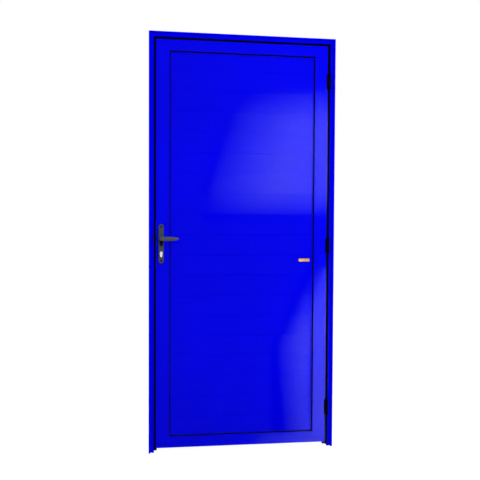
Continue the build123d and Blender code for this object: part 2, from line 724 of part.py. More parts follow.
with BuildPart() as lock_case:
    block(
        CASE_FRONT, CASE_BACK, -CASE_THICKNESS / 2, CASE_THICKNESS / 2, CASE_BOTTOM, CASE_TOP, Mode.ADD
    )
    forend_half = GROOVE_WIDTH / 2 - FOREND_CLEARANCE
    block(
        -LEAF_EDGE,
        CASE_FRONT,
        -forend_half,
        forend_half,
        PLATE_Z - FOREND_LENGTH / 2,
        PLATE_Z + FOREND_LENGTH / 2,
        Mode.ADD,
    )
    inner_half = CASE_THICKNESS / 2 - CASE_WALL
    block(
        CASE_FRONT,
        CASE_BACK - CASE_WALL,
        -inner_half,
        inner_half,
        CASE_BOTTOM + CASE_WALL,
        CASE_TOP - CASE_WALL,
    )
    for z, tall, thick in (
        (HANDLE_HEIGHT, LATCH_HEIGHT, LATCH_THICKNESS),
        (BOLT_Z, BOLT_HEIGHT, BOLT_THICKNESS),
    ):
        block(
            -LEAF_EDGE - CUT_OVERRUN,
            CASE_FRONT,
            -thick / 2 - BOLT_CLEARANCE,
            thick / 2 + BOLT_CLEARANCE,
            z - tall / 2 - BOLT_CLEARANCE,
            z + tall / 2 + BOLT_CLEARANCE,
        )
    bore_y(SPINDLE_X, -CASE_THICKNESS, CASE_THICKNESS, HANDLE_HEIGHT, FOLLOWER_R)
    with BuildSketch(Plane.XZ.offset(CASE_THICKNESS)):
        cylinder_outline(CASE_SLOT_CLEARANCE)
    extrude(amount=-2 * CASE_THICKNESS, mode=Mode.SUBTRACT)
save(lock_case, "lock_case")

with BuildPart() as latch_bolt:
    latch_half = LATCH_THICKNESS / 2
    latch_tip = -LEAF_EDGE - LATCH_THROW
    latch_end = -LEAF_EDGE + LATCH_TAIL
    with BuildSketch(Plane.XY.offset(HANDLE_HEIGHT - LATCH_HEIGHT / 2)):
        with BuildLine():
            Polyline(
                (latch_end, -latch_half),
                (latch_tip, -latch_half),
                (latch_tip, -latch_half + LATCH_NOSE),
                (-LEAF_EDGE - LATCH_LAND, latch_half),
                (latch_end, latch_half),
                close=True,
            )
        make_face()
    extrude(amount=LATCH_HEIGHT)
save(latch_bolt, "latch_bolt")

with BuildPart() as dead_bolt:
    block(
        -LEAF_EDGE,
        -LEAF_EDGE + BOLT_LENGTH,
        -BOLT_THICKNESS / 2,
        BOLT_THICKNESS / 2,
        BOLT_Z - BOLT_HEIGHT / 2,
        BOLT_Z + BOLT_HEIGHT / 2,
        Mode.ADD,
    )
    chamfer(dead_bolt.faces().sort_by(Axis.X)[0].edges(), length=BOLT_CLEARANCE)
save(dead_bolt, "dead_bolt")

with BuildPart() as cylinder_body:
    with BuildSketch(Plane.XZ.offset(CYLINDER_HALF)):
        cylinder_outline(0)
    extrude(amount=-2 * CYLINDER_HALF)
    bore_y(SPINDLE_X, -CYLINDER_HALF, CYLINDER_HALF, CYLINDER_Z, PLUG_R + PLUG_FIT)
    cam_space = CAM_R + 2 * CAM_CLEARANCE
    block(
        SPINDLE_X - cam_space,
        SPINDLE_X + cam_space,
        -CAM_WIDTH / 2 - CAM_CLEARANCE,
        CAM_WIDTH / 2 + CAM_CLEARANCE,
        CYLINDER_Z - cam_space,
        CYLINDER_Z + cam_space,
    )
save(cylinder_body, "cylinder_body")

with BuildPart() as cylinder_plug:
    bore_y(SPINDLE_X, -CYLINDER_HALF, CYLINDER_HALF, CYLINDER_Z, PLUG_R, Mode.ADD)
    bore_y(SPINDLE_X, -CAM_WIDTH / 2, CAM_WIDTH / 2, CYLINDER_Z, CYLINDER_R, Mode.ADD)
    block(
        SPINDLE_X,
        SPINDLE_X + CAM_R,
        -CAM_WIDTH / 2,
        CAM_WIDTH / 2,
        CYLINDER_Z - CAM_TOOTH / 2,
        CYLINDER_Z + CAM_TOOTH / 2,
        Mode.ADD,
    )
    for side in (-1, 1):
        keyway_start = side * (CYLINDER_HALF - KEYWAY_DEPTH)
        keyway = sorted((keyway_start, side * (CYLINDER_HALF + CUT_OVERRUN)))
        block(
            SPINDLE_X - KEYWAY_WIDTH / 2,
            SPINDLE_X + KEYWAY_WIDTH / 2,
            *keyway,
            CYLINDER_Z - KEYWAY_HEIGHT / 2,
            CYLINDER_Z + KEYWAY_HEIGHT / 2,
        )
save(cylinder_plug, "cylinder_plug")

# Handle set: two plates, a square spindle and two levers

PLATE_FACE = LEAF_THICKNESS / 2 + PLATE_THICKNESS

for name, side in (("plate_front", -1), ("plate_back", 1)):
    leaf_plane = Plane(origin=(0, side * LEAF_THICKNESS / 2, 0), x_dir=(1, 0, 0), z_dir=(0, -1, 0))
    outwards = -side
    with BuildPart() as plate:
        with BuildSketch(leaf_plane):
            with Locations((SPINDLE_X, PLATE_Z)):
                SlotOverall(PLATE_LENGTH, PLATE_WIDTH, rotation=90)
        extrude(amount=outwards * PLATE_THICKNESS)
        outer_face = plate.faces().sort_by(Axis.Y)[0 if side < 0 else -1]
        chamfer(outer_face.edges(), length=PLATE_EDGE)
        ends = sorted((side * LEAF_THICKNESS / 2, side * (PLATE_FACE + CUT_OVERRUN)))
        bore_y(SPINDLE_X, *ends, HANDLE_HEIGHT, NECK_R + NECK_CLEARANCE)
        with BuildSketch(leaf_plane):
            cylinder_outline(CASE_SLOT_CLEARANCE)
        extrude(amount=outwards * (PLATE_THICKNESS + CUT_OVERRUN), mode=Mode.SUBTRACT)
    save(plate, name)

with BuildPart() as spindle:
    spindle_half = LEVER_FACE - LEVER_THICKNESS - SPINDLE_SIZE
    half = SPINDLE_SIZE / 2
    block(
        SPINDLE_X - half,
        SPINDLE_X + half,
        -spindle_half,
        spindle_half,
        HANDLE_HEIGHT - half,
        HANDLE_HEIGHT + half,
        Mode.ADD,
    )
save(spindle, "spindle")


def lever_outline():
    """The lever seen from the front: a round root, a slightly swelling bar, a round tip."""
    root = LEVER_ROOT_HEIGHT / 2
    swell = LEVER_HEIGHT / 2
    shoulder = LEVER_LENGTH - LEVER_TIP
    with BuildLine() as outline:
        Line((0, -root), (shoulder, -swell))
        ThreePointArc((shoulder, -swell), (LEVER_LENGTH, 0), (shoulder, swell))
        Line((shoulder, swell), (0, root))
        ThreePointArc((0, root), (-root, 0), (0, -root))
    make_face(outline.edges())


for name, side in (("lever_front", -1), ("lever_back", 1)):
    bar_plane = Plane(
        origin=(SPINDLE_X, side * LEVER_FACE, HANDLE_HEIGHT), x_dir=(1, 0, 0), z_dir=(0, -1, 0)
    )
    with BuildPart() as lever:
        with BuildSketch(bar_plane):
            lever_outline()
        extrude(amount=side * LEVER_THICKNESS)
        rims = lever.edges().filter_by(lambda edge: abs(abs(edge.center().Y) - LEVER_FACE) < 0.01)
        chamfer(rims, length=LEVER_EDGE)
        neck_start = LEAF_THICKNESS / 2 + NECK_CLEARANCE
        neck = sorted((side * neck_start, side * (LEVER_FACE - LEVER_THICKNESS / 2)))
        bore_y(SPINDLE_X, *neck, HANDLE_HEIGHT, NECK_R, Mode.ADD)
        socket_half = SPINDLE_SIZE / 2 + SPINDLE_CLEARANCE
        socket_end = LEVER_FACE - LEVER_THICKNESS - SPINDLE_SIZE + SPINDLE_CLEARANCE
        socket = sorted((side * (neck_start - CUT_OVERRUN), side * socket_end))
        block(
            SPINDLE_X - socket_half,
            SPINDLE_X + socket_half,
            *socket,
            HANDLE_HEIGHT - socket_half,
            HANDLE_HEIGHT + socket_half,
        )
    save(lever, name)

# Brass plate, seated on the panel

with BuildPart() as brass_plate:
    brass_x = OPENING_EDGE - BRASS_INSET
    block(
        brass_x - BRASS_WIDTH / 2,
        brass_x + BRASS_WIDTH / 2,
        PANEL_FRONT - BRASS_THICKNESS,
        PANEL_FRONT,
        BRASS_Z - BRASS_HEIGHT / 2,
        BRASS_Z + BRASS_HEIGHT / 2,
        Mode.ADD,
    )
save(brass_plate, "brass_plate")
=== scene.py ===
import json
import math

import bmesh
import bpy
from mathutils import Matrix, Vector


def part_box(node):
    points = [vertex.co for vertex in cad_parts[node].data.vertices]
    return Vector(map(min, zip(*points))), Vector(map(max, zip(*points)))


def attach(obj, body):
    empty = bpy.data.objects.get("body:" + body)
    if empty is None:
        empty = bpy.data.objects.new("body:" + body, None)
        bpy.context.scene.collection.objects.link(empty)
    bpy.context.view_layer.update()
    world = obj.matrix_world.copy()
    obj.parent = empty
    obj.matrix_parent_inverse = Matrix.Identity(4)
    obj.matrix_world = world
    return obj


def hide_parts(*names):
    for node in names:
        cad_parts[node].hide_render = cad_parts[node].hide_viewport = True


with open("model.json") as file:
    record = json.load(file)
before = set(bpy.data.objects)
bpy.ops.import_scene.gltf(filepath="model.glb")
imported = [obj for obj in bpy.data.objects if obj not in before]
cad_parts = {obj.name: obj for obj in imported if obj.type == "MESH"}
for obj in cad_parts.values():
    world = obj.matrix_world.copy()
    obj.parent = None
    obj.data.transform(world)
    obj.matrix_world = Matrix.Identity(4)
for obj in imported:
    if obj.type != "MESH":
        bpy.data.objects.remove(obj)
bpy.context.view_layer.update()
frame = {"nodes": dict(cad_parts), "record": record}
scene = bpy.context.scene
nodes = frame["nodes"]


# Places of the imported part, in metres, as the frame has them

X, Y, Z = 0, 1, 2
ENDS = (("low", -1), ("high", 1))


def span(node, axis):
    """Where a CAD node starts and ends along an axis, to a tenth of a millimetre."""
    low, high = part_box(node)
    return round(low[axis], 4), round(high[axis], 4)


def middle(node, axis):
    """The middle of a CAD node along an axis."""
    return round(sum(span(node, axis)) / 2, 4)


def half(node, axis):
    """Half the size of a CAD node along an axis."""
    low, high = span(node, axis)
    return round((high - low) / 2, 4)


pivots = {joint["name"]: joint.get("pos_m") for joint in frame["record"]["behaviour"]["joints"]}

OPEN_X, LEAF_EDGE = span("stile_right", X)
LEAF_FRONT, LEAF_BACK = span("stile_right", Y)
LEAF_LOW, LEAF_HIGH = span("stile_right", Z)
OPEN_LOW = span("rail_bottom", Z)[1]
OPEN_HIGH = span("rail_top", Z)[0]
PANEL_FRONT = span("slat_01", Y)[0]
SIDE_GAP, TOP_GAP = 0.008, 0.006
JAMB_INSIDE = LEAF_EDGE + SIDE_GAP
HEAD_INSIDE = LEAF_HIGH + TOP_GAP
HINGE_X, HINGE_Y = pivots["leaf_hinge"][:2]
HINGES = {place: middle(f"hinge_frame_{place}", Z) for place in ("bottom", "middle", "top")}
SPINDLE_X, HANDLE_Z = pivots["lever_turn"][X], pivots["lever_turn"][Z]
CYLINDER_Z = pivots["key_turn"][Z]
PLATE_Z = middle("plate_front", Z)
BRASS_X, BRASS_Z = middle("brass_plate", X), middle("brass_plate", Z)


# Materials

class Nodes:
    """An empty node tree with short helpers for filling it. A value is a socket or a plain number."""

    def __init__(self, tree):
        self.tree = tree
        tree.nodes.clear()

    def add(self, kind, **settings):
        node = self.tree.nodes.new(kind)
        for key, value in settings.items():
            setattr(node, key, value)
        return node

    def feed(self, socket, value):
        """Links a socket to an input, or gives the input a plain value."""
        if isinstance(value, bpy.types.NodeSocket):
            self.tree.links.new(value, socket)
        else:
            socket.default_value = value

    def math(self, operation, *values):
        node = self.add("ShaderNodeMath", operation=operation)
        for socket, value in zip(node.inputs, values):
            self.feed(socket, value)
        return node.outputs["Value"]

    def ramp(self, value, low, high, start, end, kind="SMOOTHSTEP"):
        """Start where the value is low, passing to end where it is high."""
        node = self.add("ShaderNodeMapRange", interpolation_type=kind)
        for key, number in (("From Min", low), ("From Max", high), ("To Min", start), ("To Max", end)):
            node.inputs[key].default_value = number
        self.feed(node.inputs["Value"], value)
        return node.outputs["Result"]

    def seen_by(self, *rays):
        """1 for the named kinds of ray and 0 for the others."""
        path = self.add("ShaderNodeLightPath")
        seen = 0.0
        for ray in rays:
            seen = self.math("MAXIMUM", seen, path.outputs[f"Is {ray} Ray"])
        return seen


class Paint(Nodes):
    """A material with a principled shader, whose patterns lie in the part's own coordinates."""

    def __init__(self, name):
        self.material = bpy.data.materials.new(name)
        self.material.use_nodes = True
        super().__init__(self.material.node_tree)
        self.shader = self.add("ShaderNodeBsdfPrincipled")
        self.feed(self.add("ShaderNodeOutputMaterial").inputs["Surface"], self.shader.outputs["BSDF"])
        self.coords = self.add("ShaderNodeTexCoord").outputs["Object"]

    def put(self, **values):
        """Sets inputs of the shader, written with a low line for each space in their names."""
        for key, value in values.items():
            self.feed(self.shader.inputs[key.replace("_", " ")], value)
        return self

    def mapped(self, scale, place=(0.0, 0.0, 0.0)):
        node = self.add("ShaderNodeMapping")
        node.inputs["Location"].default_value = place
        node.inputs["Scale"].default_value = scale
        self.feed(node.inputs["Vector"], self.coords)
        return node.outputs["Vector"]

    def noise(self, scale, detail=3.0, rough=0.5, stretch=None):
        node = self.add("ShaderNodeTexNoise")
        node.inputs["Scale"].default_value = scale
        node.inputs["Detail"].default_value = detail
        node.inputs["Roughness"].default_value = rough
        self.feed(node.inputs["Vector"], self.mapped(stretch) if stretch else self.coords)
        return node.outputs["Fac"]

    def blend(self, factor, first, second):
        """The first colour where the factor is 0, the second where it is 1."""
        node = self.add("ShaderNodeMix", data_type="RGBA")
        self.feed(node.inputs["Factor"], factor)
        for key, colour in (("A", first), ("B", second)):
            self.feed(node.inputs[key], (*colour, 1) if isinstance(colour, tuple) else colour)
        return node.outputs["Result"]

    def axis(self, letter):
        node = self.add("ShaderNodeSeparateXYZ")
        self.feed(node.inputs["Vector"], self.coords)
        return node.outputs[letter]

    def spot(self, centre, radius, fade, inside=1.0, outside=0.0):
        """One value near a place of the part, passing to another at radius + fade."""
        node = self.add("ShaderNodeVectorMath", operation="DISTANCE")
        self.feed(node.inputs[0], self.coords)
        self.feed(node.inputs[1], centre)
        return self.ramp(node.outputs["Value"], radius, radius + fade, inside, outside)

    def oval(self, centre, half_x, half_z, inner, outer):
        """1 inside an upright oval round a place, falling to 0 from inner to outer times its size."""
        place = (-centre[0] / half_x, 0.0, -centre[1] / half_z)
        node = self.add("ShaderNodeVectorMath", operation="LENGTH")
        self.feed(node.inputs[0], self.mapped((1 / half_x, 0.0, 1 / half_z), place))
        return self.ramp(node.outputs["Value"], inner, outer, 1.0, 0.0)

    def bump(self, height, strength, distance):
        node = self.add("ShaderNodeBump")
        node.inputs["Strength"].default_value = strength
        node.inputs["Distance"].default_value = distance
        self.feed(node.inputs["Height"], height)
        return self.put(Normal=node.outputs["Normal"])


def tint(colour, times, plus=0.0):
    """A colour made lighter or darker."""
    return tuple(part * times + plus for part in colour)


def grey(tone):
    return (tone, tone, tone)


# Blue powder coat: its tones, from deep to bright, and where it is dusty, touched by hands or less glossy
LEAF_TONES = (0.0, 0.0, 0.72), (0.0, 0.0, 0.78)
FRAME_TONES = (0.0, 0.0, 0.80), (0.0, 0.0, 0.85)
LEAF_SPECULAR, FRAME_SPECULAR = 0.03, 0.003
DUSTY_BELOW, CLEAN_ABOVE = 0.02, 0.35
TOUCH_DROP, TOUCH_RADIUS, TOUCH_FADE = 0.05, 0.05, 0.16
RIM_WIDTH, RIM_LOW, RIM_HIGH = 0.048, 0.95, 1.15

# The faces along the gap are painted near black, a painted shade that stands for the shadow in the gap. Each
# border of the black is given from the edge of the leaf, inwards, or from the inside of the frame, outwards.
# Behind
# BLACK_BACK the frame is blue again, and so is the foot of the stop at the right.
LEAF_BLACK_SIDE, LEAF_BLACK_TOP, LEAF_SHIFT = 0.0018, 0.0024, 0.0006
FRAME_BLACK_SIDE, FRAME_BLACK_TOP, FRAME_SHIFT = 0.0025, 0.0030, -0.0009
BORDER = 0.0002
BLACK_BACK = 0.020
STOP_FOOT, STOP_FOOT_RADIUS, STOP_FOOT_FADE = (0.385, 0.020, 0.011), 0.040, 0.0005
# The near black of the painted shade along the gap
GAP_SHADE_INK = grey(0.0005)


def soiled(paint, base, where, grain, tone):
    """The base colour, passing to another tone in grains where the given value is high."""
    return paint.blend(paint.math("MULTIPLY", where, grain), base, tone)


def past(paint, place, border, beyond):
    """1 past a border and 0 before it, or the other way round."""
    first, last = (0.0, 1.0) if beyond else (1.0, 0.0)
    return paint.ramp(place, border - BORDER, border + BORDER, first, last)


def gap_painted_shade(paint, side, shift, top, beyond):
    """1 where near black paint stands for the shade along the gap: past or before a border at both sides,
    which shift moves, and one at the top."""
    black = 0.0
    if side:
        aside = paint.math("ABSOLUTE", paint.math("ADD", paint.axis("X"), shift))
        but_foot = paint.spot(STOP_FOOT, STOP_FOOT_RADIUS, STOP_FOOT_FADE, 0.0, 1.0)
        black = paint.math("MULTIPLY", past(paint, aside, side, beyond), but_foot)
    if top:
        black = paint.math("MAXIMUM", black, past(paint, paint.axis("Z"), top, beyond))
    return paint.math("MULTIPLY", black, past(paint, paint.axis("Y"), BLACK_BACK, False))


def blue(name, tones, specular, side=None, shift=0.0, top=None, beyond=True, dull_rim=False):
    """Gloss blue powder coat: fine orange peel, slow colour drift, dulling near the floor and the lock,
    painted shade along the gap where borders are given, and on the panel less gloss towards the right stile."""
    deep, bright = tones
    paint = Paint(name).put(Specular_IOR_Level=specular, IOR=1.5)
    drift = paint.ramp(paint.noise(1.6, 2.0), 0.35, 0.65, 0.0, 1.0)
    base = paint.blend(drift, deep, bright)
    near_floor = paint.ramp(paint.axis("Z"), DUSTY_BELOW, CLEAN_ABOVE, 1.0, 0.0)
    dust = paint.ramp(paint.noise(24.0, 6.0, 0.7), 0.45, 0.75, 0.0, 0.5)
    base = soiled(paint, base, near_floor, dust, tint(deep, 0.82))
    near_lock = paint.spot((SPINDLE_X, LEAF_FRONT, HANDLE_Z - TOUCH_DROP), TOUCH_RADIUS, TOUCH_FADE)
    touch = paint.ramp(paint.noise(60.0, 5.0, 0.7), 0.4, 0.7, 0.0, 0.5)
    base = soiled(paint, base, near_lock, touch, tint(deep, 0.88))
    # Painted shade: near black on the faces along the gap
    if side or top:
        base = paint.blend(gap_painted_shade(paint, side, shift, top, beyond), base, GAP_SHADE_INK)
    if dull_rim:
        rim = paint.ramp(paint.axis("X"), OPEN_X - RIM_WIDTH, OPEN_X, 0.0, 1.0)
        duller = paint.math("MULTIPLY", rim, paint.ramp(paint.axis("Z"), RIM_LOW, RIM_HIGH, 0.60, 0.30))
        paint.put(Specular_IOR_Level=paint.ramp(duller, 0.0, 1.0, specular, 0.0))
    smear = paint.noise(7.0, 5.0, 0.65, (1.0, 1.0, 0.35))
    paint.put(Base_Color=base, Roughness=paint.ramp(smear, 0.3, 0.75, 0.035, 0.06))
    paint.bump(paint.noise(420.0, 2.0), 0.05, 0.00005)
    return paint.material


# The leaf and the frame carry painted shade on the faces along the gap between them
leaf_blue = blue(
    "leaf_blue", LEAF_TONES, LEAF_SPECULAR, side=LEAF_EDGE - LEAF_BLACK_SIDE, shift=LEAF_SHIFT,
    top=LEAF_HIGH - LEAF_BLACK_TOP,
)
panel_blue = blue("panel_blue", LEAF_TONES, LEAF_SPECULAR, dull_rim=True)
jamb_blue = blue(
    "jamb_blue", FRAME_TONES, FRAME_SPECULAR, side=JAMB_INSIDE + FRAME_BLACK_SIDE, shift=FRAME_SHIFT,
    beyond=False,
)
head_blue = blue("head_blue", FRAME_TONES, FRAME_SPECULAR, top=HEAD_INSIDE + FRAME_BLACK_TOP, beyond=False)


def rubber(name, tone):
    """Dull black rubber with paler bloom and a fine drawn grain."""
    paint = Paint(name).put(Specular_IOR_Level=0.03, IOR=1.5)
    bloom = paint.ramp(paint.noise(35.0, 5.0, 0.7), 0.4, 0.75, 0.0, 1.0)
    rough = paint.ramp(paint.noise(90.0), 0.3, 0.7, 0.55, 0.75)
    paint.put(Base_Color=paint.blend(bloom, tone, tint(tone, 1.8, 0.001)), Roughness=rough)
    paint.bump(paint.noise(900.0, 2.0, 0.5, (1.0, 1.0, 0.1)), 0.25, 0.0002)
    return paint.material


gasket_black = rubber("gasket_rubber", (0.002, 0.002, 0.010))
seal_black = rubber("seal_rubber", grey(0.001))

# The grain of a metal: the same all ways, drawn along X, or drawn along Z, strongly to slightly
EVEN, ALONG_X = (1, 1, 1), (0.05, 1, 1)
STRONG_Z, MEDIUM_Z, SLIGHT_Z = (1, 1, 0.05), (1, 1, 0.1), (1, 1, 0.2)


def metal(name, low, high, rough, metallic, specular, grain, strength, painted_light=None):
    """Metal or a coat on it, with tone and roughness that drift, a fine grain and, where given, painted light
    or shade laid on its colour.
    """
    paint = Paint(name).put(Metallic=metallic, Specular_IOR_Level=specular, IOR=1.5)
    tone = paint.ramp(paint.noise(45.0, 4.0, 0.6), 0.35, 0.7, 0.0, 1.0)
    base = paint.blend(tone, low, high)
    if painted_light:
        base = painted_light(paint, base)
    paint.put(Base_Color=base, Roughness=paint.ramp(paint.noise(70.0, 5.0, 0.7), 0.3, 0.7, *rough))
    paint.bump(paint.noise(700.0, 3.0, 0.6, grain), strength, 0.0001)
    return paint.material


# The painted shadow on the plate and the painted shade on the cylinder: the middle of an oval, and half its
# width and height
NECK_SHADOW_PLACE, NECK_SHADOW_SIZE = (SPINDLE_X + 0.0008, HANDLE_Z - 0.0160), (0.0112, 0.0270)
CYLINDER_UNSHADED_PLACE, CYLINDER_UNSHADED_SIZE = (SPINDLE_X, CYLINDER_Z - 0.003), (0.0074, 0.0178)


def painted_neck_shadow(paint, base):
    """Painted shadow: a near black oval on the plate below the neck of the lever."""
    return paint.blend(paint.oval(NECK_SHADOW_PLACE, *NECK_SHADOW_SIZE, 0.62, 1.05), base, grey(0.0006))


def cylinder_painted_shade(paint, base):
    """Painted shade: the nickel stays as it is inside an oval round the middle of the cylinder, and passes to
    near black outside it, at the foot and the rim.
    """
    return paint.blend(paint.oval(CYLINDER_UNSHADED_PLACE, *CYLINDER_UNSHADED_SIZE, 0.80, 1.05), grey(0.012), base)


black_metal = metal("black_metal", grey(0.0006), grey(0.0016), (0.5, 0.65), 0.0, 0.01, EVEN, 0.3)
screw_black = metal("screw_black", grey(0.0008), grey(0.002), (0.5, 0.65), 0.0, 0.01, EVEN, 0.3)
# Painted shade: near black for the inside of screw recesses
recess_painted_shade = metal("recess_shade_black", grey(0.001), grey(0.003), (0.6, 0.8), 0.0, 0.01, EVEN, 0.1)
dark_steel = metal("dark_steel", grey(0.001), grey(0.004), (0.45, 0.6), 0.0, 0.05, MEDIUM_Z, 0.3)
zinc = metal("zinc_steel", (0.42, 0.43, 0.46), (0.62, 0.62, 0.60), (0.28, 0.45), 1.0, 0.5, STRONG_Z, 0.3)
mill = metal("bare_aluminium", (0.55, 0.56, 0.58), (0.72, 0.72, 0.73), (0.35, 0.5), 1.0, 0.5, ALONG_X, 0.3)
# The nickel of the cylinder carries painted shade at its rim and its foot
nickel = metal(
    "cylinder_nickel", (0.66, 0.65, 0.63), (0.80, 0.78, 0.76), (0.16, 0.28), 1.0, 0.5, SLIGHT_Z, 0.2,
    cylinder_painted_shade,
)
handle_grey = metal(
    "handle_grey", (0.036, 0.040, 0.043), (0.048, 0.052, 0.056), (0.30, 0.42), 0.0, 0.30, EVEN, 0.35
)
# The front plate carries a painted shadow below the neck of the lever
plate_grey = metal(
    "plate_grey", (0.049, 0.054, 0.058), (0.063, 0.068, 0.072), (0.30, 0.42), 0.0, 0.02, EVEN, 0.35,
    painted_neck_shadow,
)
brass = metal("brass_plate", (0.23, 0.13, 0.02), (0.33, 0.20, 0.04), (0.30, 0.42), 1.0, 0.5, ALONG_X, 0.25)
brass_pin = metal("brass_pin", (0.70, 0.50, 0.12), (0.85, 0.64, 0.20), (0.2, 0.3), 1.0, 0.5, EVEN, 0.2)

SLOT_MATERIAL = {
    "blue_paint": leaf_blue,
    "seal_rubber": gasket_black,
    "black_metal": black_metal,
    "zinc_steel": zinc,
    "handle_grey": handle_grey,
    "cylinder_nickel": nickel,
    "brass": brass,
    "bare_aluminium": mill,
}
# Nodes whose names start like this have a paint of their own
NODE_MATERIAL = {
    "jamb_": jamb_blue,
    "head": head_blue,
    "slat_": panel_blue,
    "latch_bolt": dark_steel,
    "dead_bolt": dark_steel,
    "keeper": dark_steel,
}
for part in frame["record"]["subparts"]:
    own = [material for start, material in NODE_MATERIAL.items() if part["node"].startswith(start)]
    data = nodes[part["node"]].data
    data.materials.clear()
    data.materials.append(own[0] if own else SLOT_MATERIAL[part["material_slot"]])


# Mesh helpers

def mesh_from(name, verts, faces):
    data = bpy.data.meshes.new(name)
    data.from_pydata([tuple(v) for v in verts], [], faces)
    work = bmesh.new()
    work.from_mesh(data)
    bmesh.ops.recalc_face_normals(work, faces=work.faces)
    work.to_mesh(data)
    work.free()
    obj = bpy.data.objects.new(name, data)
    scene.collection.objects.link(obj)
    return obj


def join(name, pieces):
    """One mesh from several pairs of (verts, faces)."""
    verts, faces = [], []
    for more_verts, more_faces in pieces:
        start = len(verts)
        verts += more_verts
        faces += [[i + start for i in face] for face in more_faces]
    return mesh_from(name, verts, faces)


def finish_piece(obj, body, material, smooth=True):
    """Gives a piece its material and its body."""
    obj.data.materials.clear()
    obj.data.materials.append(material)
    if smooth:
        obj.data.polygons.foreach_set("use_smooth", [True] * len(obj.data.polygons))
    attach(obj, body)


def skin(rings):
    """The (verts, faces) of a closed form through rings that all have the same number of points."""
    count = len(rings[0])
    verts = [point for ring in rings for point in ring]
    faces = []
    for start in range(0, len(verts) - count, count):
        for i in range(count):
            j = (i + 1) % count
            faces.append([start + i, start + j, start + count + j, start + count + i])
    faces.append(list(range(count)))
    faces.append(list(range(len(verts) - count, len(verts))))
    return verts, faces


def directions(axis):
    """An axis as a unit vector, and two directions across it."""
    axis = Vector(axis).normalized()
    side = Vector((0, 0, 1)) if abs(axis.z) < 0.5 else Vector((1, 0, 0))
    across = axis.cross(side).normalized()
    return axis, across, axis.cross(across)


def lathe(profile, place, axis, count=32):
    """A round form: profile is (radius, height) pairs along axis, from place."""
    axis, across, up = directions(axis)
    turns = [2 * math.pi * step / count for step in range(count)]
    spokes = [across * math.cos(turn) + up * math.sin(turn) for turn in turns]
    rings = []
    for radius, height in profile:
        rings.append([Vector(place) + axis * height + spoke * radius for spoke in spokes])
    return skin(rings)


def arc(cu, cv, radius, start, end, count):
    """Points of an arc round (cu, cv), from the start angle to the end angle in degrees."""
    turns = [math.radians(start + (end - start) * i / count) for i in range(count + 1)]
    return [(cu + radius * math.cos(turn), cv + radius * math.sin(turn)) for turn in turns]


def mitred_ring(profile, half_width, low, high, open_bottom=False):
    """A strip with a closed profile of (inward, y) points, swept round an upright rectangle with mitred
    corners. Inward is measured from the rectangle towards its middle."""
    verts, faces = [], []
    for side, end in ((-1, -1), (-1, 1), (1, 1), (1, -1)):
        x, z = side * half_width, high if end > 0 else low
        for inward, y in profile:
            mitre = 0.0 if open_bottom and end < 0 else end * inward
            verts.append(Vector((x - side * inward, y, z - mitre)))
    count = len(profile)
    for corner in range(3 if open_bottom else 4):
        a, b = corner * count, (corner + 1) % 4 * count
        for i in range(count):
            j = (i + 1) % count
            faces.append([a + i, a + j, b + j, b + i])
    if open_bottom:
        faces.append(list(range(count)))
        faces.append([3 * count + i for i in range(count)])
    return verts, faces


# Rubber strips: a rolled lip beside the panel, a back strip, and the bulb seal of the rebate

BED = 0.0080
LIP_FRONT, LIP_TOP = -0.0126, -0.0144
BACK_LOW, BACK_HIGH = 0.0051, 0.0079
BEND = 0.0006
front_profile = [
    (-BED, PANEL_FRONT), (-BED, LIP_FRONT), (-0.0004, LIP_FRONT), (-0.0004, LIP_TOP),
    *arc(0.0008, -0.0139, 0.0011, 200, 330, 6), (0.0036, -0.0120),
    *arc(0.0042, -0.0106, 0.0012, 270, 380, 5), (0.0048, PANEL_FRONT),
]
back_profile = [
    (-BED, BACK_LOW), (-BED, BACK_HIGH), (-BEND, BACK_HIGH), *arc(-BEND, 0.0066, 0.0013, 90, -60, 6),
    (-BEND, BACK_LOW),
]
for strip_name, profile, node in (
    ("gasket_front_lip", front_profile, "gasket_front"), ("gasket_back_lip", back_profile, "gasket_back")
):
    strip = join(strip_name, [mitred_ring(profile, OPEN_X, OPEN_LOW, OPEN_HIGH)])
    finish_piece(strip, "leaf", gasket_black, smooth=False)
    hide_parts(node)

SEAL_WIDTH, SEAL_BASE, SEAL_STEPS, SEAL_FULLNESS = 0.009, 0.0009, 14, 0.8
SEAL_FOOT = LEAF_LOW + 0.0005
crown, foot = span("frame_seal", Y)
shoulder = foot - SEAL_BASE
bulb = [(0.0, foot), (0.0, shoulder)]
for step in range(1, SEAL_STEPS):
    along = step / SEAL_STEPS
    swell = math.sin(math.pi * along) ** SEAL_FULLNESS
    bulb.append((SEAL_WIDTH * along, shoulder - (shoulder - crown) * swell))
bulb += [(SEAL_WIDTH, shoulder), (SEAL_WIDTH, foot)]
seal_ring = mitred_ring(bulb, span("frame_seal", X)[1], SEAL_FOOT, span("frame_seal", Z)[1], open_bottom=True)
seal_strip = join("rebate_bulb_seal", [seal_ring])
finish_piece(seal_strip, "frame", seal_black, smooth=False)
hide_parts("frame_seal")


# Screw heads with a cross or star recess

HEAD_RIM, HEAD_DOME = 0.0006, 0.0002
STAR_TURN, STAR_POINT, STAR_WAIST, STAR_TAPER = 0.3, 0.58, 0.24, 0.8
STAR_BRIM, STAR_FLOOR = HEAD_DOME + 0.00005, HEAD_DOME - 0.0005


